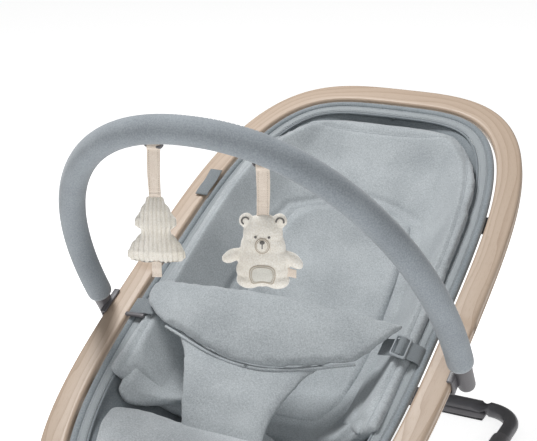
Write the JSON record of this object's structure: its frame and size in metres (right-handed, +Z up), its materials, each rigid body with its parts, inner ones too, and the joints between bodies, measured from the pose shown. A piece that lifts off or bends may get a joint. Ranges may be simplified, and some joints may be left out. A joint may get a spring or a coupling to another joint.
{
  "type": "baby bouncer seat",
  "caption": "Reclining baby bouncer: oval wooden ring with a padded fabric seat and waist harness, a sled base of steel tube, and a padded arch with hanging soft toys.",
  "frame": {"origin": "on the floor, under the middle of the object's bounding box", "axes": "+X to the baby's left, +Y from the foot end to the head end, +Z up"},
  "size_m": [0.507, 0.7332, 0.5792],
  "materials": {
    "ash_wood": "oiled",
    "grey_cloth": "brushed knit",
    "border_cloth": "mesh",
    "grey_webbing": "woven",
    "sleeve_cloth": "brushed knit",
    "cream_plush": "plush",
    "cream_ribbon": "woven",
    "dark_plastic": "matte",
    "grey_plastic": "satin",
    "dark_steel": "powder coat",
    "bright_steel": "zinc plated",
    "rubber": "matte"
  },
  "bodies": {
    "base": {"right_runner": "dark_steel", "left_runner": "dark_steel", "right_coupler": "dark_plastic", "left_coupler": "dark_plastic", "rear_bar": "dark_steel", "front_cross_tube": "dark_steel", "right_base_hub": "dark_plastic", "left_base_hub": "dark_plastic", "right_hub_pin": "bright_steel", "left_hub_pin": "bright_steel", "right_return_washer": "bright_steel", "left_return_washer": "bright_steel", "rear_foot_strip": "dark_plastic", "rear_foot_grip": "rubber", "front_foot_strip": "dark_plastic", "front_foot_grip": "rubber"},
    "left_button": {"left_release_button": "grey_plastic"},
    "right_button": {"right_release_button": "grey_plastic"},
    "seat": {"wood_ring": "ash_wood", "seat_tube": "bright_steel", "border_channel": "border_cloth", "sling": "grey_cloth", "back_pad": "grey_cloth", "seat_pad": "grey_cloth", "newborn_inlay": "grey_cloth", "right_side_wing": "grey_cloth", "left_side_wing": "grey_cloth", "right_foot_bracket": "dark_steel", "left_foot_bracket": "dark_steel", "right_head_bracket": "dark_steel", "left_head_bracket": "dark_steel", "waist_pad": "grey_cloth", "crotch_panel": "grey_cloth", "left_ladder_lock": "grey_plastic", "right_strap_clip": "dark_plastic", "right_harness_strap": "grey_webbing", "left_harness_strap": "grey_webbing", "cloth_label": "grey_webbing", "right_bar_clip": "dark_plastic", "left_bar_clip": "dark_plastic", "right_seat_hub": "dark_plastic", "left_seat_hub": "dark_plastic", "right_hub_screw_1": "bright_steel", "left_hub_screw_1": "bright_steel", "right_hub_screw_2": "bright_steel", "left_hub_screw_2": "bright_steel"},
    "toy_bar": {"bar_core": "dark_plastic", "bar_sleeve": "sleeve_cloth", "right_bar_end": "dark_plastic", "left_bar_end": "dark_plastic", "tree_hanger": "dark_plastic", "bear_hanger": "dark_plastic"},
    "tree": {"tree_ribbon": "cream_ribbon", "tree_body": "cream_plush", "tree_trunk": "cream_ribbon"},
    "bear": {"bear_ribbon": "cream_ribbon", "bear_body": "cream_plush", "bear_label": "cream_ribbon"}
  },
  "joints": [
    {"name": "recline", "type": "hinge", "parent": "base", "child": "seat", "pos_m": [0, -0.2193, 0.1289], "axis": [1, 0, 0], "range_deg": [-26, 10]},
    {"name": "left_release", "type": "slide", "parent": "base", "child": "left_button", "axis": [-1, 0, 0], "range_m": [0, 0.003], "stiffness_N_per_m": 400},
    {"name": "right_release", "type": "slide", "parent": "base", "child": "right_button", "axis": [1, 0, 0], "range_m": [0, 0.003], "stiffness_N_per_m": 400},
    {"name": "toy_bar_tilt", "type": "hinge", "parent": "seat", "child": "toy_bar", "pos_m": [0, -0.0626, 0.2628], "axis": [1, 0, 0], "range_deg": [-11, 11]},
    {"name": "tree_swing", "type": "hinge", "parent": "toy_bar", "child": "tree", "pos_m": [-0.054, -0.2353, 0.5375], "axis": [1, 0, 0], "range_deg": [-25, 25]},
    {"name": "bear_swing", "type": "hinge", "parent": "toy_bar", "child": "bear", "pos_m": [0.071, -0.2309, 0.5305], "axis": [1, 0, 0], "range_deg": [-25, 25]}
  ]
}
